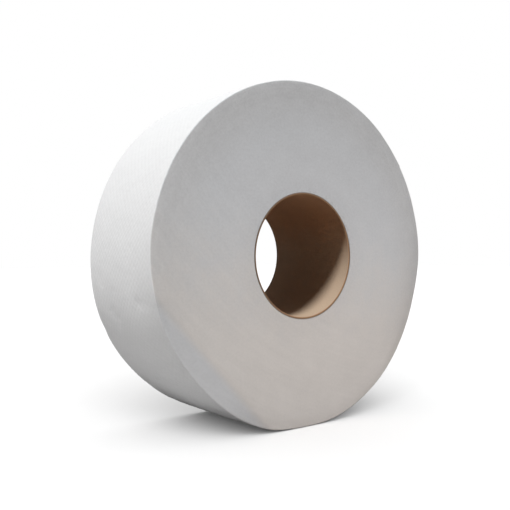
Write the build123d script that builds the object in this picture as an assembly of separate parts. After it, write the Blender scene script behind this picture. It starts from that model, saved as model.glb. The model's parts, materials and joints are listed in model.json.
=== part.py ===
"""Jumbo toilet paper roll, resting on its rim.

A long web of two-ply tissue is wound on a cardboard tube and the log is sawn to length, so the tube and
the winding end flush. The roll's axis lies along Y, with the origin at the middle of the bore and +Z up.
All sizes are in millimetres.
"""

import os
from math import sqrt

from build123d import *

# Driving dimensions
ROLL_DIAMETER = 230.0  # over the outermost turn
ROLL_WIDTH = 80.0  # from sawn end to sawn end
CORE_BORE = 81.0  # inside diameter of the cardboard tube
CORE_WALL = 1.5  # glued plies of the tube
CORE_MOUTH_CHAMFER = 0.3  # edge broken by the saw at each mouth of the bore
SHEET = 0.25  # thickness of the web where its tail lies on the roll
SHOULDER_REACH = 9.0  # outer band of a sawn end, where the loosest turns lean away
SHOULDER_FALL = 0.7  # how far that band leans back by the time it reaches the rim
EDGE_BREAK = 1.5  # soft corner between that band and the rim
TURN_PITCH = 9.0  # radial step of the turn line that shows the winding on a sawn end
TURN_LINE_WIDTH = 0.5
TURN_LINE_DEPTH = 0.15
TAIL_ANGLE = 35.0  # where the web ends, in degrees above +X as the front is seen
FLAT_SPOT_WIDTH = 34.0  # chord that the roll's weight presses flat

# Worked out from them
ROLL_RADIUS = ROLL_DIAMETER / 2
HALF_WIDTH = ROLL_WIDTH / 2
BORE_RADIUS = CORE_BORE / 2
CORE_RADIUS = BORE_RADIUS + CORE_WALL
FLAT_SPOT_LEVEL = -sqrt(ROLL_RADIUS**2 - (FLAT_SPOT_WIDTH / 2) ** 2)


def half_turn(section, centre_x, upper):
    """Half a turn of a section drawn on the XY plane, from the tail's side round to the far side."""
    direction = (0, -1, 0) if upper else (0, 1, 0)
    return revolve(section, axis=Axis((centre_x, 0, 0), direction), revolution_arc=180)


def winding_section(centre_x, radius):
    """Half the roll cut through its axis: sawn ends, leaning shoulders, soft corners and the rim."""
    rim = centre_x + radius
    flat_end = rim - SHOULDER_REACH
    shoulder = HALF_WIDTH - SHOULDER_FALL
    with BuildSketch() as section:
        Polygon(
            (centre_x, -HALF_WIDTH),
            (flat_end, -HALF_WIDTH),
            (rim, -shoulder),
            (rim, shoulder),
            (flat_end, HALF_WIDTH),
            (centre_x, HALF_WIDTH),
            align=None,
        )
        rim_corners = section.vertices().group_by(Axis.X)[-1]
        chamfer(rim_corners, EDGE_BREAK)
    return section.sketch


def wound_body():
    """The wound web: two half turns on shifted centres leave a step of one sheet at the tail."""
    last_half = half_turn(winding_section(0, ROLL_RADIUS), 0, upper=True)
    shift = SHEET / 2
    half_before = half_turn(winding_section(-shift, ROLL_RADIUS - shift), -shift, upper=False)
    return last_half + half_before


def turn_line_section(radius, centre_x, end):
    """V-shaped nick of the turn line, cut into one sawn end."""
    middle = centre_x + radius
    face = end * HALF_WIDTH
    with BuildSketch() as section:
        Polygon(
            (middle - TURN_LINE_WIDTH / 2, face),
            (middle + TURN_LINE_WIDTH / 2, face),
            (middle, face - end * TURN_LINE_DEPTH),
            align=None,
        )
    return section.sketch


def turn_lines(end):
    """The spiral of turns on one sawn end, drawn with half circles on two centres."""
    first = CORE_RADIUS + TURN_PITCH / 2
    last = ROLL_RADIUS - SHOULDER_REACH - TURN_PITCH / 2
    half_turns = int((last - first) / (TURN_PITCH / 2)) + 1
    cutters = []
    for step in range(half_turns):
        upper = step % 2 == 0
        centre_x = TURN_PITCH / 4 if upper else -TURN_PITCH / 4
        section = turn_line_section(first + step * TURN_PITCH / 2, centre_x, end)
        cutters.append(half_turn(section, centre_x, upper))
    return cutters


def paper_winding():
    """The whole winding: turns, tail, seat for the tube and the flat spot it rests on."""
    body = wound_body()
    body -= turn_lines(end=1) + turn_lines(end=-1)
    body = body.rotate(Axis.Y, -TAIL_ANGLE)
    body -= Cylinder(CORE_RADIUS, 2 * ROLL_WIDTH, rotation=(90, 0, 0))
    below = (Align.CENTER, Align.CENTER, Align.MAX)
    pressed = Box(2 * ROLL_DIAMETER, 2 * ROLL_WIDTH, ROLL_RADIUS, align=below)
    return body - Pos(0, 0, FLAT_SPOT_LEVEL) * pressed


def cardboard_core():
    """The tube: glued plies, sawn flush with the winding, with its bore's edges just broken."""
    with BuildSketch() as section:
        with Locations((BORE_RADIUS + CORE_WALL / 2, 0)):
            Rectangle(CORE_WALL, ROLL_WIDTH)
        mouths = section.vertices().group_by(Axis.X)[0]
        chamfer(mouths, CORE_MOUTH_CHAMFER)
    return revolve(section.sketch, axis=Axis.Y)


os.makedirs("parts", exist_ok=True)
for name, shape in {"paper_winding": paper_winding(), "cardboard_core": cardboard_core()}.items():
    export_step(shape, f"parts/{name}.step")
    print(name, "solids", len(shape.solids()), "volume", round(shape.volume), "box", shape.bounding_box().size)
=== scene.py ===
# %% [markdown]
# # A jumbo toilet paper roll
#
# The object is a wide roll of white tissue that stands on its rim, with a brown cardboard tube through
# its middle. There are only two pieces, so the likeness lies in small things: how the turns lean at the
# edge of the sawn end, how the weight presses a flat spot, and how matt paper and bare board take the
# light. Each step below says what a thing is on the real roll, how it could be made, and why it is made
# this way.

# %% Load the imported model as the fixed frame
import json
from math import cos, pi, radians, sin, tau

import bpy
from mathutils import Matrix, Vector


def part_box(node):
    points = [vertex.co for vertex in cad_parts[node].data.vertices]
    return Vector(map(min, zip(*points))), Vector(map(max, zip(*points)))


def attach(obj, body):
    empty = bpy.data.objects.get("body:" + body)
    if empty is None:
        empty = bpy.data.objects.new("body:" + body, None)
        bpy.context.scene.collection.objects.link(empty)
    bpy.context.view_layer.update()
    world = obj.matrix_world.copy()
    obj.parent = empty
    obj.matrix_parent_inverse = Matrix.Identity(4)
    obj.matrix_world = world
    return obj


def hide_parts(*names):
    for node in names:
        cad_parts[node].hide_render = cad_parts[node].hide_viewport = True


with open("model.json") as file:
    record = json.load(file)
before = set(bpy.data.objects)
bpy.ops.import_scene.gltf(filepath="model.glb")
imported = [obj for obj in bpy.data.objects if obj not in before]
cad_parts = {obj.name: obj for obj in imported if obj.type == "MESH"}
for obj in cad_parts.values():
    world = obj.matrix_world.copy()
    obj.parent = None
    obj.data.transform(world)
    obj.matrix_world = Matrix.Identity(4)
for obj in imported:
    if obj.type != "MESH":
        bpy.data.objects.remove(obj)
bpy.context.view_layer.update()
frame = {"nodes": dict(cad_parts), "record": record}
print("nodes in the frame:", sorted(frame["nodes"]))

# %% [markdown]
# ## Sizes
#
# A roll is sawn from a long log, so its width, its bore and its outside are plain measures. They could
# be typed in again here, but then the two models could drift apart. Every size that the CAD model knows
# is read from it instead: the mounts in the record give the bore, the flat spot and the two sawn ends.
# The roll's axis lies along Y, its front faces -Y, and its middle is at the origin.

# %% Read the sizes of the roll
mounts = {mount["name"]: mount for mount in frame["record"]["mounts"]}
MM = 0.001
BORE_RADIUS = mounts["core_bore"]["dims"]["r_mm"] * MM
FLAT_LEVEL = mounts["floor_spot"]["pos_m"][2]
HALF_WIDTH = mounts["rear_end"]["pos_m"][1]
ROLL_RADIUS = round(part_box("paper_winding")[1].z, 4)
SEAT_RADIUS = round(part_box("cardboard_core")[1].z, 4)
print("roll radius", ROLL_RADIUS, "half width", HALF_WIDTH, "tube", BORE_RADIUS, "to", SEAT_RADIUS)

# %% [markdown]
# ## Arithmetic in a node tree
#
# The paper's dents and its grain are sums of simple curves, and both geometry and shader trees do such
# sums with Math nodes. A tree could be drawn by hand in the node editor, but a long sum is hard to read
# there. The class below wraps an output socket, so that a formula can be written as one: adding two of
# them places a Math node and links it up.

# %% Write formulas as nodes
def place(tree, kind, **options):
    """Add a node of one kind and set its options."""
    node = tree.nodes.new(kind)
    for option, value in options.items():
        setattr(node, option, value)
    return node


def feed(tree, socket, value):
    """Link a socket to a Number or another socket, or give it a plain value."""
    if isinstance(value, Number):
        value = value.socket
    if isinstance(value, bpy.types.NodeSocket):
        tree.links.new(value, socket)
    else:
        socket.default_value = value


class Number:
    """A value that flows through a node tree. Arithmetic on it places Math nodes."""

    def __init__(self, tree, socket):
        self.tree = tree
        self.socket = socket

    def math(self, operation, *others):
        """One Math node, with this value as its first input."""
        node = place(self.tree, "ShaderNodeMath", operation=operation)
        for socket, value in zip(node.inputs, (self, *others)):
            feed(self.tree, socket, value)
        return Number(self.tree, node.outputs["Value"])

    def __add__(self, other):
        return self.math("ADD", other)

    def __sub__(self, other):
        return self.math("SUBTRACT", other)

    def __mul__(self, other):
        return self.math("MULTIPLY", other)

    def __truediv__(self, other):
        return self.math("DIVIDE", other)

    def rest(self):
        """What is left up to 1."""
        return self.math("MULTIPLY_ADD", -1.0, 1.0)

    def ramp(self, low, high):
        """0 below low, 1 above high, and a soft rise between them."""
        node = place(self.tree, "ShaderNodeMapRange", interpolation_type="SMOOTHSTEP")
        for name, value in {"Value": self, "From Min": low, "From Max": high}.items():
            feed(self.tree, node.inputs[name], value)
        return Number(self.tree, node.outputs["Result"])

    def hump(self, start, peak, end):
        """0 outside start and end, rising softly to 1 at the peak."""
        return self.ramp(start, peak) * self.ramp(peak, end).rest()


print("formula helpers ready")

# %% [markdown]
# ## Vectors and noise
#
# Paper is never quite even. Random values could be drawn in Python and stored on the points, but a Noise
# texture does it inside the tree. Its fourth coordinate serves as the seed, so each run gives the same
# values.

# %% Split and join vectors, and draw noise
def split(tree, vector):
    """The X, Y and Z of a vector socket."""
    node = place(tree, "ShaderNodeSeparateXYZ")
    feed(tree, node.inputs[0], vector)
    return [Number(tree, socket) for socket in node.outputs]


def vector_of(tree, x, y, z):
    """A vector socket from three values."""
    node = place(tree, "ShaderNodeCombineXYZ")
    for socket, value in zip(node.inputs, (x, y, z)):
        feed(tree, socket, value)
    return node.outputs[0]


def noise(tree, vector, scale, detail, seed, roughness=0.5):
    """Soft random values from 0 to 1. Roughness weighs the finer detail."""
    node = place(tree, "ShaderNodeTexNoise", noise_dimensions="4D")
    settings = {"Vector": vector, "Scale": scale, "Detail": detail, "W": seed, "Roughness": roughness}
    for name, value in settings.items():
        feed(tree, node.inputs[name], value)
    return Number(tree, node.outputs[0])


def wobble(*settings, **more):
    """The same noise about zero, from -0.5 to 0.5."""
    return noise(*settings, **more) - 0.5


print("vector helpers ready")

# %% [markdown]
# ## Node groups from Python
#
# A tree that is used twice belongs in a group with named sockets. Blender keeps those names in the
# group's interface, apart from its nodes, so one helper makes both ends at once. Another remembers a
# value on the points of a geometry, because a field such as Index means something else once the geometry
# has changed.

# %% Start a node group
def new_tree(name, inputs, outputs, kind="GeometryNodeTree"):
    """A node group with named sockets, and the sockets of its two end nodes."""
    tree = bpy.data.node_groups.new(name, kind)
    for socket_name, socket_kind in inputs.items():
        tree.interface.new_socket(socket_name, in_out="INPUT", socket_type=socket_kind)
    for socket_name, socket_kind in outputs.items():
        tree.interface.new_socket(socket_name, in_out="OUTPUT", socket_type=socket_kind)
    start = place(tree, "NodeGroupInput")
    end = place(tree, "NodeGroupOutput")
    return tree, start.outputs, end.inputs


def capture(tree, geometry, name, kind, value):
    """Remember a value on the points of a geometry."""
    node = place(tree, "GeometryNodeCaptureAttribute")
    node.capture_items.new(kind, name)
    feed(tree, node.inputs["Geometry"], geometry)
    feed(tree, node.inputs[name], value)
    return node.outputs["Geometry"], node.outputs[name]


print("group helpers ready")

# %% [markdown]
# ## A tree that sweeps a section round the roll's axis
#
# The winding and the tube are both turned shapes. A Screw modifier could turn them, but its points
# forget where they came from. In this tree Curve to Mesh makes the grid of faces, and two captured
# values remember each point's place in the section and how far round it sits. One tree serves both
# pieces, and each piece works out its own positions from those two values.

# %% Build the sweep as a node group
def build_sweep_tree():
    tree, given, made = new_tree(
        "sweep_round_axis",
        {"Section": "NodeSocketGeometry", "Segments": "NodeSocketInt"},
        {"Mesh": "NodeSocketGeometry", "Section Place": "NodeSocketVector", "Turn": "NodeSocketFloat"},
    )
    outline = place(tree, "GeometryNodeMeshToCurve")
    feed(tree, outline.inputs["Mesh"], given["Section"])
    position = place(tree, "GeometryNodeInputPosition").outputs["Position"]
    section, section_place = capture(tree, outline.outputs["Curve"], "place", "VECTOR", position)

    segments = Number(tree, given["Segments"])
    ring = place(tree, "GeometryNodeCurvePrimitiveCircle", mode="RADIUS")
    feed(tree, ring.inputs["Resolution"], segments)
    index = Number(tree, place(tree, "GeometryNodeInputIndex").outputs["Index"])
    path, turn = capture(tree, ring.outputs["Curve"], "turn", "FLOAT", index / segments)

    sweep = place(tree, "GeometryNodeCurveToMesh")
    feed(tree, sweep.inputs["Curve"], path)
    feed(tree, sweep.inputs["Profile Curve"], section)
    feed(tree, made["Mesh"], sweep.outputs["Mesh"])
    feed(tree, made["Section Place"], section_place)
    feed(tree, made["Turn"], turn)
    return tree


sweep_tree = build_sweep_tree()
print("sweep tree nodes:", len(sweep_tree.nodes))

# %% [markdown]
# ## The section of the winding
#
# Cut through its axis, the winding is nearly a rectangle. Its outer corner is what makes it soft: over
# the last few millimetres the loose turns lean back, and then the edge rolls over. A Bevel modifier
# could round the corner, but not lean the turns. The outline is drawn as points, close together where
# the shape turns and far apart on the flat stretches, so the mesh spends its faces where they show.

# %% Draw the section
SHOULDER_REACH = 9.0 * MM
SHOULDER_FALL = 0.2 * MM
EDGE_ROUND = 0.8 * MM
FLAT_STEPS = 26
SHOULDER_STEPS = 15
EDGE_STEPS = 7
RIM_STEPS = 24
SEAT_STEPS = 4


def even(start, stop, steps):
    """Evenly spaced values, from start up to but without stop."""
    return [start + (stop - start) * step / steps for step in range(steps)]


def front_half():
    """Radius and depth of the front half of the section, from the seat out to the middle of the rim."""
    flat_end = ROLL_RADIUS - SHOULDER_REACH
    corner = ROLL_RADIUS - EDGE_ROUND
    points = [(radius, 0.0) for radius in even(SEAT_RADIUS, flat_end, FLAT_STEPS)]
    for radius in even(flat_end, corner, SHOULDER_STEPS):
        share = (radius - flat_end) / (corner - flat_end)
        points.append((radius, SHOULDER_FALL * share**2))
    for angle in even(0.0, pi / 2, EDGE_STEPS):
        points.append((corner + EDGE_ROUND * sin(angle), SHOULDER_FALL + EDGE_ROUND * (1 - cos(angle))))
    rim_start = SHOULDER_FALL + EDGE_ROUND
    return points + [(ROLL_RADIUS, depth) for depth in even(rim_start, HALF_WIDTH, RIM_STEPS)]


def section_object(name, points):
    """An object that holds a closed outline as edges, for a tree to sweep."""
    mesh = bpy.data.meshes.new(name)
    edges = [(index, (index + 1) % len(points)) for index in range(len(points))]
    mesh.from_pydata([(radius, along, 0.0) for radius, along in points], edges, [])
    piece = bpy.data.objects.new(name, mesh)
    bpy.context.scene.collection.objects.link(piece)
    return piece


half = front_half()
front = [(radius, depth - HALF_WIDTH) for radius, depth in half]
rear = [(radius, HALF_WIDTH - depth) for radius, depth in reversed(half)]
seat = [(SEAT_RADIUS, along) for along in even(HALF_WIDTH, -HALF_WIDTH, SEAT_STEPS)[1:]]
winding = section_object("winding", front + [(ROLL_RADIUS, 0.0)] + rear + seat)
print("points in the section:", len(winding.data.vertices))

# %% [markdown]
# ## The winding's sizes
#
# The tissue is one long web, so the outside is a spiral and not a circle, and soft paper also sags,
# bulges and bruises. Such a shape could be sculpted by hand, but then no amount could be read or changed
# later. Here the section is swept round the axis, and the next steps move its points. Every amount is a
# named input of the tree, and the random ones share a fixed seed.

# %% Name the sizes of the winding
WINDING_SIZES = {
    "Roll Radius": ROLL_RADIUS,
    "Half Width": HALF_WIDTH,
    "Seat Radius": SEAT_RADIUS,
    "Flat Level": FLAT_LEVEL,
    "Sheet": 0.25 * MM,
    "Tail Angle": radians(35),
    "Tail Length": 26.0 * MM,
    "Tail Lift": 0.7 * MM,
    "Rim Wander": 0.35 * MM,
    "Dent Depth": 0.7 * MM,
    "Left Bulge": 1.7 * MM,
    "Right Bulge": 1.5 * MM,
    "Crush": 4.3 * MM,
    "Left Facet Start": 97.0 * MM,
    "Left Facet Slope": 0.21,
    "Right Facet Start": 100.0 * MM,
    "Right Facet Slope": 0.075,
    "Groove": 0.12 * MM,
    "Face Wander": 0.05 * MM,
    "Edge Wander": 0.5 * MM,
    "Seed": 4.0,
}


class WindingPoint:
    """A point of the swept section, with the measures that the next steps share."""

    def __init__(self, tree, given, section_place, turn):
        self.tree = tree
        self.size = {name: Number(tree, given[name]) for name in WINDING_SIZES}
        self.turn = turn
        self.radius, self.along, _ = split(tree, section_place)
        self.angle = turn * tau + self.size["Tail Angle"]
        self.cosine = self.angle.math("COSINE")
        self.sine = self.angle.math("SINE")
        reach = self.size["Roll Radius"]
        self.inside = reach - self.radius
        self.depth = self.along + self.size["Half Width"]
        self.skin = vector_of(tree, reach * self.cosine, self.along, reach * self.sine)


print("sizes of the winding:", len(WINDING_SIZES))

# %% [markdown]
# ## Out of round
#
# The outside drops by one sheet in a turn. The weight presses the bottom flat, and the paper bulges at
# both sides by a millimetre or two. The lower left was crushed and has a few shallow dents. A Lattice
# modifier could bend the roll like this, but its cage is coarse. A hump over the angle round the roll
# says just where each of these starts, peaks and ends.

# %% Press, dent and bulge the outside
def span(*degrees):
    """Angles round the roll as the front is seen, counted from the right-hand side upwards."""
    return [radians(angle) for angle in degrees]


LEFT_SIDE = span(155, 200, 235)
RIGHT_SIDE = span(342, 360, 380)
DENTED_CORNER = span(170, 215, 260)
CRUSHED_CORNER = span(168, 216, 258)
CRUSH_DEPTH = 34.0 * MM
CRUSH_REACH = 24.0 * MM
LOOSE_BAND = (1.0 * MM, 12.0 * MM)
WANDERS_PER_METRE = 30.0
DENTS_PER_METRE = 60.0
DENTED_SHARE = (0.52, 0.72)
STEP_FADE = 1.25
PRESS_SOFTNESS = 5.0 * MM
PRESS_ALLOWANCE = 0.6 * MM
HELD_BY_FLOOR = 0.6 * MM


def spiral_drop(point):
    """How far the outside lies below the last sheet: one sheet under the tail, then none, then one again."""
    tail_share = point.size["Tail Length"] / (point.size["Roll Radius"] * tau)
    under_tail = point.turn.ramp(tail_share, tail_share * STEP_FADE).rest()
    return under_tail.math("MAXIMUM", point.turn) * point.size["Sheet"]


def press_of_floor(point):
    """How far the floor pushes the outermost turn up. The allowance takes back what softness adds."""
    below = point.size["Flat Level"] - point.size["Roll Radius"] * point.sine
    return (below - PRESS_ALLOWANCE).math("SMOOTH_MAX", 0.0, PRESS_SOFTNESS)


def sinking(point, press):
    """How far the loose outer turns lie inside a true circle, by the spiral, the dents and a slow wander."""
    seed = point.size["Seed"]
    wander = wobble(point.tree, point.skin, WANDERS_PER_METRE, detail=1.0, seed=seed)
    wander = wander * point.size["Rim Wander"]
    dents = noise(point.tree, point.skin, DENTS_PER_METRE, detail=2.0, seed=seed + 3.0).ramp(*DENTED_SHARE)
    dents = dents * point.size["Dent Depth"] * point.angle.hump(*DENTED_CORNER)
    free = press.ramp(0.0, HELD_BY_FLOOR).rest()
    return (spiral_drop(point) + (dents - wander) * free) * point.inside.ramp(*LOOSE_BAND).rest()


def crushing(point):
    """How far the lower left corner of the front is pushed in."""
    near_front = point.depth.ramp(0.0, CRUSH_DEPTH).rest()
    near_rim = point.inside.ramp(0.0, CRUSH_REACH).rest()
    return point.angle.hump(*CRUSHED_CORNER) * near_front * near_rim * point.size["Crush"]


def bulging(point):
    """How far the two sides stand out."""
    left = point.angle.hump(*LEFT_SIDE) * point.size["Left Bulge"]
    return left + point.angle.hump(*RIGHT_SIDE) * point.size["Right Bulge"]


print("bulge at the left and right:", WINDING_SIZES["Left Bulge"], WINDING_SIZES["Right Bulge"])

# %% [markdown]
# ## The pressed edges
#
# At the lower left the front edge has been pressed against something flat. Its turns are bent back
# beyond a straight line, and the facet has a thin groove along it. At the right the turns lean back more
# softly. A Boolean could cut such a facet, but it leaves a ragged mesh. The distance past a straight
# line bends the same grid of points, and a smooth maximum sets how crisp the line is.

# %% Lean the front edge back
LEFT_FACET = radians(223)
RIGHT_FACET = radians(345)
LEFT_SOFTNESS = 2.0 * MM
RIGHT_SOFTNESS = 10.0 * MM
GROOVED_CORNER = span(188, 206, 222)
GROOVE_BAND = (0.5 * MM, 1.6 * MM, 3.0 * MM)
LEAN_DEPTH = 14.0 * MM


def beyond_line(point, towards, start, softness):
    """How far a point lies past a straight line across the end, at this distance in this direction."""
    x = point.radius * point.cosine
    z = point.radius * point.sine
    return (x * cos(towards) + z * sin(towards) - start).math("SMOOTH_MAX", 0.0, softness)


def leaning(point):
    """How far the front edge lies behind the sawn end."""
    size = point.size
    left = beyond_line(point, LEFT_FACET, size["Left Facet Start"], LEFT_SOFTNESS)
    right = beyond_line(point, RIGHT_FACET, size["Right Facet Start"], RIGHT_SOFTNESS)
    groove = point.angle.hump(*GROOVED_CORNER) * point.inside.hump(*GROOVE_BAND)
    back = left * size["Left Facet Slope"] + right * size["Right Facet Slope"] + groove * size["Groove"]
    return back * point.depth.ramp(0.0, LEAN_DEPTH).rest()


print("slopes of the facets:", WINDING_SIZES["Left Facet Slope"], WINDING_SIZES["Right Facet Slope"])

# %% [markdown]
# ## Loose turns
#
# No saw leaves paper quite flat. Groups of turns stand out by a few hundredths of a millimetre, and at
# the edge, where they are loose, by some tenths. A Displace modifier could do it, but it would move the
# rim and the bore as well. A noise over the radius, faded in close to each sawn end, moves only what was
# sawn.

# %% Let the turns stand out of the sawn ends
RINGS_PER_METRE = 125.0
EDGE_WAVES_PER_METRE = 38.0
EDGE_BAND = (1.0 * MM, 11.0 * MM)
END_FADE_START = 2.4 * MM
END_FADE_STOP = 0.8 * MM


def standing_out(point):
    """How far along the axis the turns move, outwards at both ends."""
    tree = point.tree
    seed = point.size["Seed"]
    half_width = point.size["Half Width"]
    at_end = point.along.math("ABSOLUTE").ramp(half_width - END_FADE_START, half_width - END_FADE_STOP)
    rings = vector_of(tree, point.radius * RINGS_PER_METRE, point.cosine, point.sine)
    steps = wobble(tree, rings, 1.0, detail=1.0, seed=seed + 5.0) * point.size["Face Wander"]
    edge = wobble(tree, point.skin, EDGE_WAVES_PER_METRE, detail=1.0, seed=seed + 7.0)
    edge = edge * point.size["Edge Wander"] * point.inside.ramp(*EDGE_BAND).rest()
    return (steps + edge) * at_end * point.along.math("SIGN")


def shape_winding(tree, given, section_place, turn):
    """Positions of the winding's points, from their place in the section and their share of a turn."""
    point = WindingPoint(tree, given, section_place, turn)
    wall = point.size["Roll Radius"] - point.size["Seat Radius"]
    outward = (point.inside / wall).rest().math("POWER", 2.0)
    press = press_of_floor(point)
    radius = point.radius - sinking(point, press) - crushing(point) + bulging(point) * outward
    along = point.along + standing_out(point) + leaning(point)
    return vector_of(tree, radius * point.cosine, along, radius * point.sine + press * outward)


print("turns at the edge stand out by up to", WINDING_SIZES["Edge Wander"] / 2)

# %% [markdown]
# ## The tail
#
# The web has to end somewhere. On a new roll the last sheet is glued down a little short of its end, so
# a narrow flap stays free and stands up by a millimetre or so. It is on the far right of this roll. It
# could be cut out of the rim, but a shell of its own is easier to lift. A grid is bent round the rim,
# raised towards its free end, and extruded to the thickness of the sheet.

# %% Bend the tail round the rim
TAIL_POINTS_ROUND = 25
TAIL_POINTS_ACROSS = 61
TAIL_CURL = 2.2
LEAST_LIFT = 0.35
LIFTS_PER_METRE = 26.0
WELD_DISTANCE = 0.01 * MM


def join(tree, *parts):
    """Several geometries as one."""
    node = place(tree, "GeometryNodeJoinGeometry")
    for part in reversed(parts):
        feed(tree, node.inputs["Geometry"], part)
    return node.outputs["Geometry"]


def move(tree, geometry, positions):
    """Put the points of a geometry at these positions."""
    node = place(tree, "GeometryNodeSetPosition")
    feed(tree, node.inputs["Geometry"], geometry)
    feed(tree, node.inputs["Position"], positions)
    return node.outputs["Geometry"]


def tail_grid(tree, length, width):
    """A flat sheet of this length round the roll and this width along it."""
    grid = place(tree, "GeometryNodeMeshGrid")
    sizes = {"Size X": length, "Size Y": width}
    sizes.update({"Vertices X": TAIL_POINTS_ROUND, "Vertices Y": TAIL_POINTS_ACROSS})
    for name, size in sizes.items():
        feed(tree, grid.inputs[name], size)
    return grid.outputs["Mesh"]


def thicken(tree, sheet, thickness):
    """A closed shell from a sheet: its extruded upper side, and itself turned over as the lower side."""
    under = place(tree, "GeometryNodeFlipFaces")
    feed(tree, under.inputs["Mesh"], sheet)
    top = place(tree, "GeometryNodeExtrudeMesh", mode="FACES")
    for name, value in {"Mesh": sheet, "Offset Scale": thickness, "Individual": False}.items():
        feed(tree, top.inputs[name], value)
    weld = place(tree, "GeometryNodeMergeByDistance")
    feed(tree, weld.inputs["Geometry"], join(tree, top.outputs["Mesh"], under.outputs["Mesh"]))
    feed(tree, weld.inputs["Distance"], WELD_DISTANCE)
    return weld.outputs["Geometry"]


def shape_tail(tree, given):
    """A thin flap that lies on the rim and lifts towards its free end."""
    size = {name: Number(tree, given[name]) for name in WINDING_SIZES}
    length = size["Tail Length"]
    width = (size["Half Width"] - (SHOULDER_FALL + EDGE_ROUND)) * 2.0
    x, y, _ = split(tree, place(tree, "GeometryNodeInputPosition").outputs["Position"])
    from_end = x + length * 0.5
    angle = size["Tail Angle"] + from_end / size["Roll Radius"]
    across = vector_of(tree, y, 0.0, 0.0)
    waves = noise(tree, across, LIFTS_PER_METRE, detail=1.0, seed=size["Seed"] + 9.0)
    curl = (from_end / length).rest().math("POWER", TAIL_CURL)
    lift = curl * (waves + LEAST_LIFT) * size["Tail Lift"]
    radius = size["Roll Radius"] - size["Sheet"] + lift
    bent = vector_of(tree, radius * angle.math("COSINE"), y, radius * angle.math("SINE"))
    return thicken(tree, move(tree, tail_grid(tree, length, width), bent), size["Sheet"])


print("length of the tail:", WINDING_SIZES["Tail Length"])

# %% [markdown]
# ## Fibre
#
# Paper and board are felted fibre. Close up it shows as a fine speckle, and from further away as soft
# blotches. A scanned texture could give both, but it would repeat and need a file. Two noises do it
# instead, in a shader group that all three finishes share, each with its own scales. The scales are
# counts per metre, since the roll is modelled in metres.

# %% Build the shader group of paper fibre
def build_fibre_group():
    tree, given, made = new_tree(
        "paper_fibre",
        {"Vector": "NodeSocketVector", "Fibre Scale": "NodeSocketFloat", "Blotch Scale": "NodeSocketFloat"},
        {"Fibre": "NodeSocketFloat", "Blotch": "NodeSocketFloat"},
        kind="ShaderNodeTree",
    )
    at = given["Vector"]
    feed(tree, made["Fibre"], wobble(tree, at, given["Fibre Scale"], detail=2.0, seed=1.0, roughness=0.7))
    feed(tree, made["Blotch"], wobble(tree, at, given["Blotch Scale"], detail=3.0, seed=2.0, roughness=0.7))
    return tree


fibre_group = build_fibre_group()


def fibre(tree, at, fibre_scale, blotch_scale):
    """Fibre and blotches at these scales, each about zero."""
    node = place(tree, "ShaderNodeGroup", node_tree=fibre_group)
    for name, value in {"Vector": at, "Fibre Scale": fibre_scale, "Blotch Scale": blotch_scale}.items():
        feed(tree, node.inputs[name], value)
    return Number(tree, node.outputs["Fibre"]), Number(tree, node.outputs["Blotch"])


print("shader group nodes:", len(fibre_group.nodes))

# %% [markdown]
# ## From patterns to a finish
#
# Tissue and board are matt: nearly all of their light comes back scattered, so roughness is high and
# there is hardly any highlight. What tells one finish from another is relief and a slight change of
# tint. Each finish below is a set of named patterns with two lists of weights. One gives the relief in
# metres, so that a Bump node with a distance of 1 shows it at its true height. The other gives the
# change of tint.

# %% Weigh patterns into relief and tint
def new_material(name, roughness, specular):
    """A material with its Principled shader, and the object coordinates."""
    material = bpy.data.materials.new(name)
    material.use_nodes = True
    tree = material.node_tree
    shader = tree.nodes["Principled BSDF"]
    shader.inputs["Roughness"].default_value = roughness
    shader.inputs["Specular IOR Level"].default_value = specular
    at = place(tree, "ShaderNodeTexCoord").outputs["Object"]
    return material, tree, shader, at


def weighted(patterns, weights):
    """The sum of several patterns, each times its own weight."""
    first, *others = [patterns[name] * weight for name, weight in weights.items()]
    return sum(others, first)


def tint(tree, colour, level):
    """A colour whose brightness follows a level about 1."""
    parts = place(tree, "ShaderNodeCombineColor")
    for part, amount in zip(parts.inputs, colour):
        feed(tree, part, level * amount)
    return parts.outputs["Color"]


def relief(tree, shader, height):
    """Bump the shader's normal by a height in metres."""
    bump = place(tree, "ShaderNodeBump")
    bump.inputs["Distance"].default_value = 1.0
    feed(tree, bump.inputs["Height"], height)
    feed(tree, shader.inputs["Normal"], bump.outputs["Normal"])


print("finish helpers ready")

# %% [markdown]
# ## The rim
#
# Two plies are pressed together with a lattice of small dots. They are set like the black squares of a
# chessboard, about four millimetres from wave to wave, and the lattice lies a little askew on the web.
# The dots could be modelled, but they are less than a tenth of a millimetre high, so relief is enough.
# They are the product of two sine waves over the unrolled web. The number of waves round the roll is
# whole in both, so the pattern closes.

# %% Make the embossed tissue of the rim
TISSUE = (0.82, 0.82, 0.82)
TISSUE_ROUGHNESS = 0.95
TISSUE_SPECULAR = 0.1
TISSUE_FIBRE = 600.0
RIM_BLOTCH = 70.0
WAVES_ROUND = 162
WAVES_ASKEW = 11
PITCH_ACROSS = 4.0 * MM
SLANT = 0.11
RIM_RELIEF = {"dots": 0.0325 * MM, "fibre": 0.03 * MM, "blotch": 0.36 * MM}
RIM_TINT = {"dots": 0.012, "fibre": 0.11, "blotch": 0.05}


def embossed_tissue():
    material, tree, shader, at = new_material("tissue_embossed", TISSUE_ROUGHNESS, TISSUE_SPECULAR)
    x, y, z = split(tree, at)
    turn = z.math("ARCTAN2", x)
    across = y * (tau / PITCH_ACROSS)
    round_roll = (turn * WAVES_ROUND - across * SLANT).math("SINE")
    along_roll = (across - turn * WAVES_ASKEW).math("SINE")
    fine, blotch = fibre(tree, at, TISSUE_FIBRE, RIM_BLOTCH)
    patterns = {"dots": round_roll * along_roll, "fibre": fine, "blotch": blotch}
    relief(tree, shader, weighted(patterns, RIM_RELIEF))
    feed(tree, shader.inputs["Base Color"], tint(tree, TISSUE, weighted(patterns, RIM_TINT) + 1.0))
    return material


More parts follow.
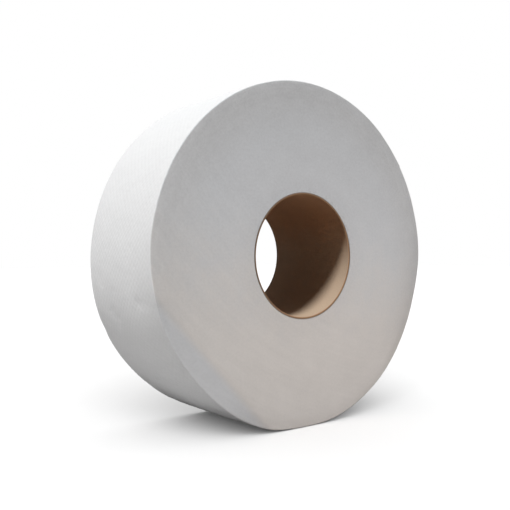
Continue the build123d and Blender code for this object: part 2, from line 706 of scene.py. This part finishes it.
rim_material = embossed_tissue()
print("finish of the rim:", rim_material.name)

# %% [markdown]
# ## Turns, saw arcs and dark tufts
#
# A log of tissue is cut by a large disc blade that swings through it. It leaves shallow arcs, all about
# the same far-off centre and clearest at the lower left. The edges of the turns are finer and run round
# the roll, and they are clearest near the rim, where the turns are loose. Wave textures could draw such
# lines, but they come out too regular. A noise that is squeezed along one direction gives broken lines
# of uneven strength. At the upper right of the bore, small tufts beside the innermost turns are drawn
# darker.

# %% Draw the marks of the sawn end
FAINTEST = 0.2
TURNS_ACROSS = 450.0
TURNS_ALONG = 110.0
LOOSE_TURNS = (ROLL_RADIUS - 32.0 * MM, ROLL_RADIUS - 2.0 * MM)
SAW_CENTRE = (0.114, 0.181)
ARCS_ACROSS = 280.0
ARCS_ALONG = 4.0
ARCS_DEEP = 20.0
SAW_FADES = (-40.0 * MM, 60.0 * MM)
TUFTS_PER_METRE = 350.0
TUFT_SHARE = (0.5, 0.7)
DARK_TUFT_BAND = (SEAT_RADIUS, SEAT_RADIUS + 5.0 * MM)
DARK_TUFT_SIDE = (20.0 * MM, 60.0 * MM)


def at_least_faint(share):
    """A strength that follows a share and never quite goes out."""
    return share * (1.0 - FAINTEST) + FAINTEST


def turn_edges(tree, x, z, radius):
    """Thin broken lines round the axis."""
    lines = vector_of(tree, radius * TURNS_ACROSS, x * TURNS_ALONG, z * TURNS_ALONG)
    strength = at_least_faint(radius.ramp(*LOOSE_TURNS))
    return wobble(tree, lines, 1.0, detail=2.0, seed=3.0) * strength


def saw_arcs(tree, x, y, z):
    """Broad arcs about the centre of the saw's swing."""
    from_x = x - SAW_CENTRE[0]
    from_z = z - SAW_CENTRE[1]
    reach = (from_x * from_x + from_z * from_z).math("SQRT")
    swing = from_z.math("ARCTAN2", from_x)
    arcs = vector_of(tree, reach * ARCS_ACROSS, swing * ARCS_ALONG, y * ARCS_DEEP)
    strength = at_least_faint((x + z).ramp(*SAW_FADES).rest())
    return wobble(tree, arcs, 1.0, detail=2.0, seed=4.0, roughness=0.7) * strength


def dark_tufts_by_bore(tree, at, x, z, radius):
    """Tufts beside the upper right of the bore."""
    tufts = noise(tree, at, TUFTS_PER_METRE, detail=1.0, seed=6.0).ramp(*TUFT_SHARE)
    return tufts * radius.ramp(*DARK_TUFT_BAND).rest() * (x + z).ramp(*DARK_TUFT_SIDE)


print("centre of the saw's swing:", SAW_CENTRE)

# %% [markdown]
# ## The sawn end
#
# The sawn end isn't one even white. Its upper half is rougher, so its grain is stronger. Its colour is
# painted light: a cooler tint painted above stands in for cool light from above, and a warmer tint
# painted below for warm light bounced up from below. The outermost turns of the upper half are darkened
# as painted shade where the face curves away at the rim, and they get less of the cooler tint. The
# innermost turns are a little darker. The pressed corner at the lower left is darkened as painted shade
# on its facet and is painted nearly neutral. An image painted by hand could hold all this, but it would
# be tied to one size. Ramps over the radius and the height do it from the roll's own measures, and the
# blotches ruffle the line between the two painted tints.

# %% Make the sawn tissue of the ends
# Painted light: a cooler tint above for cool light from above, a warmer tint below for warm light bounced
# up.
PAINTED_COOL_LIGHT = (-0.005, 0.026, 0.058)
PAINTED_WARM_LIGHT = (0.003, -0.026, -0.06)
END_BLOTCH = 60.0
ROUGH_UPWARDS = (-100.0 * MM, 100.0 * MM)
PAINTED_LIGHT_CHANGE = (-65.0 * MM, 35.0 * MM)
PAINTED_LIGHT_LEAN = 0.12
PAINTED_LIGHT_RUFFLE = 60.0 * MM
# Painted shade and a painted cooler tint on the pressed facet; the outer turns get less of the cooler tint.
PRESSED_BAND = (95.0 * MM, 102.0 * MM)
PRESSED_PAINTED_COOL = 0.3
OUTER_TURNS = (ROLL_RADIUS - 38.0 * MM, ROLL_RADIUS - 3.0 * MM)
OUTER_PAINTED_COOL = 0.5
INNER_TURNS = (SEAT_RADIUS, SEAT_RADIUS + 18.0 * MM)
END_RELIEF = {"fibre": 0.02 * MM, "turns": 0.02 * MM, "saw": 0.04 * MM, "blotch": 0.22 * MM}
END_TINT = {"fibre": 0.1, "turns": 0.04, "saw": 0.09, "blotch": 0.11}
ROUGH_TINT = {"fibre": 0.14, "turns": 0.13}
# The outer and pressed weights are painted shade; the innermost turns and the tufts are just drawn darker.
END_SHADE = {"outer": 0.05, "inner": 0.045, "pressed": 0.025, "dark_tufts": 0.12}
END_LEVEL = 1.012


def end_colour_with_painted_light(height, pressed, outer):
    """The tissue's colour with painted light: cooler above, warmer below, nearly neutral in the pressed
    corner.
    """
    warm = height.ramp(*PAINTED_LIGHT_CHANGE).rest() * pressed.rest()
    cool = warm.rest() * (outer * -OUTER_PAINTED_COOL + 1.0) + pressed * PRESSED_PAINTED_COOL
    painted_tints = zip(TISSUE, PAINTED_COOL_LIGHT, PAINTED_WARM_LIGHT)
    return [(cool * above + warm * below + 1.0) * part for part, above, below in painted_tints]


def sawn_tissue():
    material, tree, shader, at = new_material("tissue_sawn", TISSUE_ROUGHNESS, TISSUE_SPECULAR)
    x, y, z = split(tree, at)
    radius = (x * x + z * z).math("SQRT")
    fine, blotch = fibre(tree, at, TISSUE_FIBRE, END_BLOTCH)
    patterns = {"fibre": fine, "blotch": blotch}
    patterns["turns"] = turn_edges(tree, x, z, radius)
    patterns["saw"] = saw_arcs(tree, x, y, z)
    relief(tree, shader, weighted(patterns, END_RELIEF))

    rough = z.ramp(*ROUGH_UPWARDS)
    outer = radius.ramp(*OUTER_TURNS)
    pressed = (x * cos(LEFT_FACET) + z * sin(LEFT_FACET)).ramp(*PRESSED_BAND)
    # Painted shade: outer darkens the upper rim band where the face curves away, pressed darkens the facet.
    shades = {"outer": outer * rough, "inner": radius.ramp(*INNER_TURNS).rest(), "pressed": pressed}
    shades["dark_tufts"] = dark_tufts_by_bore(tree, at, x, z, radius)
    grain = weighted(patterns, END_TINT) + weighted(patterns, ROUGH_TINT) * rough
    level = grain - weighted(shades, END_SHADE) + END_LEVEL
    # The colour carries painted light, cooler above and warmer below.
    colour = end_colour_with_painted_light(z + x * PAINTED_LIGHT_LEAN - blotch * PAINTED_LIGHT_RUFFLE, pressed, outer)
    feed(tree, shader.inputs["Base Color"], tint(tree, colour, level))
    return material


end_material = sawn_tissue()
print("finish of the sawn ends:", end_material.name)

# %% [markdown]
# ## From a tree to a plain mesh
#
# A Geometry Nodes tree can stay on its object as a live modifier, but then its result is worked out
# again in every program that opens it. Here the tree runs once. Its sizes are set before it is first
# evaluated, by the identifiers of its sockets, and the result is kept as the object's own mesh. Smooth
# shading would smear the light over the sawn corners, so edges that turn sharply stay crisp.

# %% Finish a tree and keep its mesh
SHARP_TURN = radians(35)


def smooth_but_corners(tree, geometry):
    """Shade the faces smooth and keep the edges that turn sharply."""
    faces = place(tree, "GeometryNodeSetShadeSmooth", domain="FACE")
    feed(tree, faces.inputs["Geometry"], geometry)
    corners = place(tree, "GeometryNodeSetShadeSmooth", domain="EDGE")
    turn = Number(tree, place(tree, "GeometryNodeInputMeshEdgeAngle").outputs["Unsigned Angle"])
    feed(tree, corners.inputs["Geometry"], faces.outputs["Geometry"])
    feed(tree, corners.inputs["Selection"], turn.math("GREATER_THAN", SHARP_TURN))
    feed(tree, corners.inputs["Shade Smooth"], False)
    return corners.outputs["Geometry"]


def realize(tree, geometry):
    """Turn what may still be instances into faces, which an export keeps."""
    node = place(tree, "GeometryNodeRealizeInstances")
    feed(tree, node.inputs["Geometry"], geometry)
    return node.outputs["Geometry"]


def set_material(tree, geometry, material, selection=True):
    """Give the chosen faces a material."""
    node = place(tree, "GeometryNodeSetMaterial")
    for name, value in {"Geometry": geometry, "Selection": selection, "Material": material}.items():
        feed(tree, node.inputs[name], value)
    return node.outputs["Geometry"]


def bake(piece, tree, sizes):
    """Run a tree on an object and keep what it makes as the object's own mesh."""
    modifier = piece.modifiers.new(tree.name, "NODES")
    modifier.node_group = tree
    names = {item.name: item.identifier for item in tree.interface.items_tree if item.in_out == "INPUT"}
    for name, value in sizes.items():
        modifier[names[name]] = value
    drawn = piece.evaluated_get(bpy.context.evaluated_depsgraph_get())
    mesh = bpy.data.meshes.new_from_object(drawn)
    mesh.name = piece.name
    piece.modifiers.remove(modifier)
    section = piece.data
    piece.data = mesh
    bpy.data.meshes.remove(section)
    mesh.calc_loop_triangles()
    print(piece.name, "triangles:", len(mesh.loop_triangles))


print("edges stay crisp above", SHARP_TURN, "radians")

# %% [markdown]
# ## Build the winding
#
# The steps above now come together in one tree: the section is swept, its points are moved, and the tail
# is laid on. The web shows two finishes, its embossed side on the rim and the tail, and its sawn edge on
# the ends. They could be two objects, but a roll's turns are one thing. So one mesh carries both
# materials, and the direction that a face looks in says which it gets.

# %% Build the winding's mesh
WINDING_SEGMENTS = 600
RIM_BAND = 3.0 * MM
STEEPEST_RIM = 0.7


def build_winding_tree():
    inputs = {"Section": "NodeSocketGeometry", "Segments": "NodeSocketInt"}
    inputs.update({"End Finish": "NodeSocketMaterial", "Rim Finish": "NodeSocketMaterial"})
    inputs.update({name: "NodeSocketFloat" for name in WINDING_SIZES})
    tree, given, made = new_tree("wound_tissue", inputs, {"Mesh": "NodeSocketGeometry"})
    sweep = place(tree, "GeometryNodeGroup", node_tree=sweep_tree)
    feed(tree, sweep.inputs["Section"], given["Section"])
    feed(tree, sweep.inputs["Segments"], given["Segments"])
    section_place = sweep.outputs["Section Place"]
    positions = shape_winding(tree, given, section_place, Number(tree, sweep.outputs["Turn"]))
    body = move(tree, sweep.outputs["Mesh"], positions)
    tail, on_tail = capture(tree, shape_tail(tree, given), "tail", "BOOLEAN", True)

    towards_end = split(tree, place(tree, "GeometryNodeInputNormal").outputs["Normal"])[1].math("ABSOLUTE")
    outermost = split(tree, section_place)[0].math("GREATER_THAN", ROLL_RADIUS - RIM_BAND)
    on_rim = towards_end.math("LESS_THAN", STEEPEST_RIM) * outermost
    geometry = realize(tree, smooth_but_corners(tree, join(tree, body, tail)))
    geometry = set_material(tree, geometry, given["End Finish"])
    geometry = set_material(tree, geometry, given["Rim Finish"], on_rim.math("MAXIMUM", on_tail))
    feed(tree, made["Mesh"], geometry)
    return tree


winding_inputs = {"Segments": WINDING_SEGMENTS, "End Finish": end_material, "Rim Finish": rim_material}
bake(winding, build_winding_tree(), {**winding_inputs, **WINDING_SIZES})

# %% [markdown]
# ## Board
#
# The tube is kraft board, wound in a spiral and glued. Glue makes its cut ring greyer towards the
# tissue, and the ring is also painted paler there, as painted light in place of the soft lamps that
# don't reach the tube. The ring is soiled at the left. Inside, the lower right, where the key light falls
# into the bore, is a paler lit copy of the board, which is painted light. The board is also painted
# paler towards the two mouths and darker deep inside, as painted light. One plain brown would do for a
# part that is seen from afar, but the ring and the bore are near the middle of the picture. Three browns
# are blended by masks, and a level shades the blend.

# %% Make the board
BOARD = (0.72, 0.42, 0.24)
# Partly painted light: the ring is paler than its board, in place of the soft lamps that don't reach the
# tube.
GLUED_BOARD_AND_PAINTED_LIGHT = (0.62, 0.55, 0.48)
# Painted light: a paler lit copy of the board, for where the key light falls into the bore.
PAINTED_LIT_BOARD = (0.69, 0.524, 0.375)
BOARD_ROUGHNESS = 0.85
BOARD_SPECULAR = 0.2
BOARD_FIBRE = 900.0
BOARD_BLOTCH = 60.0
BOARD_RELIEF = 0.05 * MM
CUT_BAND = (HALF_WIDTH - 0.3 * MM, HALF_WIDTH - 0.1 * MM)
GLUED_AND_PAINTED_LIGHT_BAND = (BORE_RADIUS + 0.6 * MM, SEAT_RADIUS)
PAINTED_LIT_SIDE = (0.0, 50.0 * MM)
PAINTED_LIT_RUFFLE = 20.0 * MM
# Painted light: the board is paler towards the mouths, and the level darkens it deep inside.
PAINTED_MOUTH_LIGHT_BAND = (8.0 * MM, HALF_WIDTH)
SOILED_SIDE = (-BORE_RADIUS, -12.0 * MM)
BOARD_TINT = {"fibre": 0.15, "blotch": 0.1, "mouth_light": 0.17, "soiled": -0.35}
BOARD_LEVEL = 0.88
WHITE = (1.0, 1.0, 1.0)


def blend(tree, share, first, second, way="MIX"):
    """Two colours blended by a share, as a mix or as a product."""
    node = place(tree, "ShaderNodeMix", data_type="RGBA", blend_type=way)
    colours = [socket for socket in node.inputs if socket.type == "RGBA"]
    feed(tree, node.inputs["Factor"], share)
    feed(tree, colours[0], first)
    feed(tree, colours[1], second)
    return next(socket for socket in node.outputs if socket.type == "RGBA")


def brown_board():
    material, tree, shader, at = new_material("brown_board", BOARD_ROUGHNESS, BOARD_SPECULAR)
    x, y, z = split(tree, at)
    radius = (x * x + z * z).math("SQRT")
    from_middle = y.math("ABSOLUTE")
    fine, blotch = fibre(tree, at, BOARD_FIBRE, BOARD_BLOTCH)
    relief(tree, shader, fine * BOARD_RELIEF)

    cut = from_middle.ramp(*CUT_BAND)
    # Painted light: the lit copy is laid where the key light falls, at the lower right of the bore.
    painted_lit = (x - z + blotch * PAINTED_LIT_RUFFLE).ramp(*PAINTED_LIT_SIDE)
    # Towards the tissue the ring turns greyer by glue, and paler as painted light.
    ring = blend(tree, radius.ramp(*GLUED_AND_PAINTED_LIGHT_BAND), (*BOARD, 1.0), (*GLUED_BOARD_AND_PAINTED_LIGHT, 1.0))
    bore = blend(tree, painted_lit, (*BOARD, 1.0), (*PAINTED_LIT_BOARD, 1.0))
    # Painted light: paler towards the mouths, with the lower level making the deep bore darker.
    patterns = {"fibre": fine, "blotch": blotch, "mouth_light": from_middle.ramp(*PAINTED_MOUTH_LIGHT_BAND)}
    patterns["soiled"] = cut * x.ramp(*SOILED_SIDE).rest()
    shade = tint(tree, WHITE, weighted(patterns, BOARD_TINT) + BOARD_LEVEL)
    shaded = blend(tree, 1.0, blend(tree, cut, bore, ring), shade, way="MULTIPLY")
    feed(tree, shader.inputs["Base Color"], shaded)
    return material


board_material = brown_board()
print("finish of the tube:", board_material.name)

# %% [markdown]
# ## The cardboard tube
#
# The tube is sawn off together with the tissue, so it ends flush with it, and the saw just breaks the
# edges of its bore. A Cylinder with a Solidify modifier would give a tube with sharp edges. Its section
# is a thin rectangle with two corners broken, swept by the same group that swept the winding.

# %% Build the tube
MOUTH_BREAK = 0.3 * MM
BORE_STEPS = 16
TUBE_SEGMENTS = 192


def tube_section():
    """Outline of the tube's wall, along the bore from the rear to the front and back along the seat."""
    bore_end = HALF_WIDTH - MOUTH_BREAK
    bore = [(BORE_RADIUS, along) for along in even(bore_end, -bore_end, BORE_STEPS) + [-bore_end]]
    front_ring = [(BORE_RADIUS + MOUTH_BREAK, -HALF_WIDTH), (SEAT_RADIUS, -HALF_WIDTH)]
    rear_ring = [(SEAT_RADIUS, HALF_WIDTH), (BORE_RADIUS + MOUTH_BREAK, HALF_WIDTH)]
    return bore + front_ring + rear_ring


def build_tube_tree():
    inputs = {"Section": "NodeSocketGeometry", "Segments": "NodeSocketInt", "Finish": "NodeSocketMaterial"}
    tree, given, made = new_tree("board_tube", inputs, {"Mesh": "NodeSocketGeometry"})
    sweep = place(tree, "GeometryNodeGroup", node_tree=sweep_tree)
    feed(tree, sweep.inputs["Section"], given["Section"])
    feed(tree, sweep.inputs["Segments"], given["Segments"])
    radius, along, _ = split(tree, sweep.outputs["Section Place"])
    angle = Number(tree, sweep.outputs["Turn"]) * tau
    round_axis = vector_of(tree, radius * angle.math("COSINE"), along, radius * angle.math("SINE"))
    body = move(tree, sweep.outputs["Mesh"], round_axis)
    geometry = realize(tree, smooth_but_corners(tree, body))
    feed(tree, made["Mesh"], set_material(tree, geometry, given["Finish"]))
    return tree


tube = section_object("tube", tube_section())
bake(tube, build_tube_tree(), {"Segments": TUBE_SEGMENTS, "Finish": board_material})

# %% [markdown]
# ## Join the pieces to the model
#
# The two pieces could stand in the scene by themselves, but then nothing would tie them to the CAD
# model. Each piece rides on the model's only body, and the solid of the model that it stands for is
# hidden.

# %% Attach each piece to the body and hide its solid
for piece, node, slot in ((winding, "paper_winding", "tissue"), (tube, "cardboard_core", "core_board")):
    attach(piece, "root")
    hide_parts(node)
print("pieces:", winding.name, tube.name)

# %% [markdown]
# ## Floor and backdrop
#
# The roll stands on a wide white floor that runs out of sight. More light would make a grey floor white,
# but it would bleach the roll too. So the floor itself is white and shines a little, for rays that the
# camera sees directly, in a mirror or through glass. It still keeps the roll's soft shadow. Other rays
# meet a dark floor, because a white one would throw more light up at the roll than the picture shows.

# %% Lay the floor
FLOOR_SIZE = 8.0
FLOOR_GLOW = 0.03
FLOOR_WHITE = (0.9, 0.9, 0.9, 1.0)
FLOOR_BOUNCE = (0.05, 0.05, 0.05, 1.0)
DIRECT_RAYS = ("Is Camera Ray", "Is Glossy Ray", "Is Transmission Ray")


def seen_directly(tree):
    """1 for what the camera sees, itself or in a mirror or through glass."""
    path = place(tree, "ShaderNodeLightPath")
    camera_ray, glossy_ray, clear_ray = [Number(tree, path.outputs[name]) for name in DIRECT_RAYS]
    return camera_ray.math("MAXIMUM", glossy_ray).math("MAXIMUM", clear_ray)


def white_floor():
    material = bpy.data.materials.new("white_floor")
    material.use_nodes = True
    tree = material.node_tree
    shader = tree.nodes["Principled BSDF"]
    shader.inputs["Roughness"].default_value = 1.0
    shader.inputs["Specular IOR Level"].default_value = 0.0
    shader.inputs["Emission Color"].default_value = (*WHITE, 1.0)
    direct = seen_directly(tree)
    feed(tree, shader.inputs["Emission Strength"], direct * FLOOR_GLOW)
    feed(tree, shader.inputs["Base Color"], blend(tree, direct, FLOOR_BOUNCE, FLOOR_WHITE))
    return material


floor_mesh = bpy.data.meshes.new("floor")
reach = FLOOR_SIZE / 2
corners = [(-reach, -reach), (reach, -reach), (reach, reach), (-reach, reach)]
floor_mesh.from_pydata([(x, y, FLAT_LEVEL) for x, y in corners], [], [(0, 1, 2, 3)])
floor_mesh.materials.append(white_floor())
floor = bpy.data.objects.new("floor", floor_mesh)
bpy.context.scene.collection.objects.link(floor)
print("floor at", FLAT_LEVEL)

# %% [markdown]
# ## The key light
#
# One hard light stands high at the front left. It skims the sawn end, so that the grain shows, and it
# reaches into the bore. A sun lamp is the usual choice for a light that is far off, but beside lamps
# that stand close a sun is sampled poorly and the picture comes out speckled. The key is a disk ten
# metres away that looks eleven degrees wide from the roll.

# %% Hang the key light
KEY_FROM = Vector((-0.399, -0.211, 0.892))
KEY_AWAY = 10.0
KEY_WIDTH = radians(11)
KEY_STRENGTH = 2.24
KEY_COLOUR = (0.966, 0.975, 0.985)


def lamp(name, kind, energy, location, size, colour=WHITE):
    """A lamp that looks at the middle of the roll. Size is metres across, or an angle for a sun."""
    data = bpy.data.lights.new(name, kind)
    data.energy = energy
    data.color = colour
    if kind == "SUN":
        data.angle = size
    else:
        data.shape = "DISK"
        data.size = size
    holder = bpy.data.objects.new(name, data)
    holder.location = location
    holder.rotation_euler = Vector(location).to_track_quat("Z", "Y").to_euler()
    bpy.context.scene.collection.objects.link(holder)
    return holder


key_power = KEY_STRENGTH * pi * KEY_AWAY**2
key = lamp("key", "AREA", key_power, KEY_FROM * KEY_AWAY, KEY_AWAY * KEY_WIDTH, KEY_COLOUR)
print("key light of", round(key_power), "watts")

# %% [markdown]
# ## The soft lights
#
# Paper in a bright room is lit from all round. A strong world would do that, but it would flatten the
# bore and wash out the shadow. Separate panels let each side have its own level. One at the left fills
# the rim, and a wide one overhead lights the top. A warm card low in front lifts the bottom of the sawn
# end, and a weaker copy of it lights the tube's lip. The last one lies on the floor at the left and
# shines up under the rim.

# %% Place the soft lights
LEFT_POWER = 1.36
LEFT_AT = (-0.70, -0.10, -0.05)
LEFT_SIZE = 0.4
LEFT_COLOUR = (1.0, 0.97, 0.96)
DOME_POWER = 74.0
DOME_AT = (0.0, 0.0, 1.0)
DOME_SIZE = 8.0
DOME_COLOUR = (0.965, 0.98, 0.98)
CARD_POWER = 0.222
CARD_AT = (0.03, -0.22, -0.11)
CARD_SIZE = 0.2
CARD_COLOUR = (1.0, 0.865, 0.80)
LIP_POWER = 0.08
LOW_POWER = 0.097
LOW_AT = (-0.25, -0.045, -0.1125)
LOW_SIZE = 0.36
FACE_UP = (pi, 0.0, 0.0)

left = lamp("left", "AREA", LEFT_POWER, LEFT_AT, LEFT_SIZE, LEFT_COLOUR)
dome = lamp("dome", "AREA", DOME_POWER, DOME_AT, DOME_SIZE, DOME_COLOUR)
card = lamp("card", "AREA", CARD_POWER, CARD_AT, CARD_SIZE, CARD_COLOUR)
lip = lamp("lip", "AREA", LIP_POWER, CARD_AT, CARD_SIZE, CARD_COLOUR)
low = lamp("low", "AREA", LOW_POWER, LOW_AT, LOW_SIZE)
low.rotation_euler = FACE_UP
print("soft lights:", left.name, dome.name, card.name, lip.name, low.name)

# %% [markdown]
# ## The floor's light, and what each lamp reaches
#
# The picture's floor is white with a soft shadow, which the key would draw hard. So the floor has two
# very wide suns of its own, one from above and one from the front left. No near lamp lights it, so suns
# are fine there. Light linking gives every lamp a collection of the objects that it reaches. Last, the
# world is white where it is seen and dim elsewhere.

# %% Light the floor and link the lamps
SKY_STRENGTH = 2.75
SKY_FROM = (0.0, 0.0, 1.0)
SKY_WIDTH = radians(170)
SKY_FRONT_STRENGTH = 1.72
SKY_FRONT_FROM = (-0.5, -0.65, 0.57)
SKY_FRONT_WIDTH = radians(50)
SURROUND = (0.035, 0.035, 0.035, 1.0)


def light_only(name, lamps, pieces):
    """Let these lamps light these pieces and nothing else."""
    receivers = bpy.data.collections.new(name)
    for piece in pieces:
        receivers.objects.link(piece)
    for holder in lamps:
        holder.light_linking.receiver_collection = receivers


sky = lamp("sky", "SUN", SKY_STRENGTH, SKY_FROM, SKY_WIDTH)
sky_front = lamp("sky_front", "SUN", SKY_FRONT_STRENGTH, SKY_FRONT_FROM, SKY_FRONT_WIDTH)
light_only("lit_roll", (key,), (winding, tube))
light_only("lit_tissue", (left, dome, card, low), (winding,))
light_only("lit_tube", (lip,), (tube,))
light_only("lit_floor", (sky, sky_front), (floor,))

world = bpy.data.worlds.new("studio")
world.use_nodes = True
bpy.context.scene.world = world
studio = world.node_tree
backdrop = blend(studio, seen_directly(studio), SURROUND, (*WHITE, 1.0))
feed(studio, studio.nodes["Background"].inputs["Color"], backdrop)
print("lights of the floor:", sky.name, sky_front.name)

# %% [markdown]
# ## Camera
#
# The camera stands at the front left, level with the middle of the roll, so the core is seen slightly
# from the side and the floor lies out of the way below. It could follow an empty with a Track To
# constraint, but a fixed place and direction are plainer to read and to repeat.

# %% Aim the camera
CAMERA_AT = Vector((-0.3042, -0.3868, 0.0036))
CAMERA_ALONG = Vector((0.604, 0.797, -0.0066))
LENS = 49.1
SENSOR_WIDTH = 36.0
NEAREST = 0.01

camera_data = bpy.data.cameras.new("camera")
camera_data.lens = LENS
camera_data.sensor_width = SENSOR_WIDTH
camera_data.clip_start = NEAREST
camera = bpy.data.objects.new("camera", camera_data)
camera.location = CAMERA_AT
camera.rotation_euler = CAMERA_ALONG.to_track_quat("-Z", "Y").to_euler()
bpy.context.scene.collection.objects.link(camera)
bpy.context.scene.camera = camera
bpy.context.scene.view_settings.view_transform = "Standard"
print("camera lens", camera_data.lens)
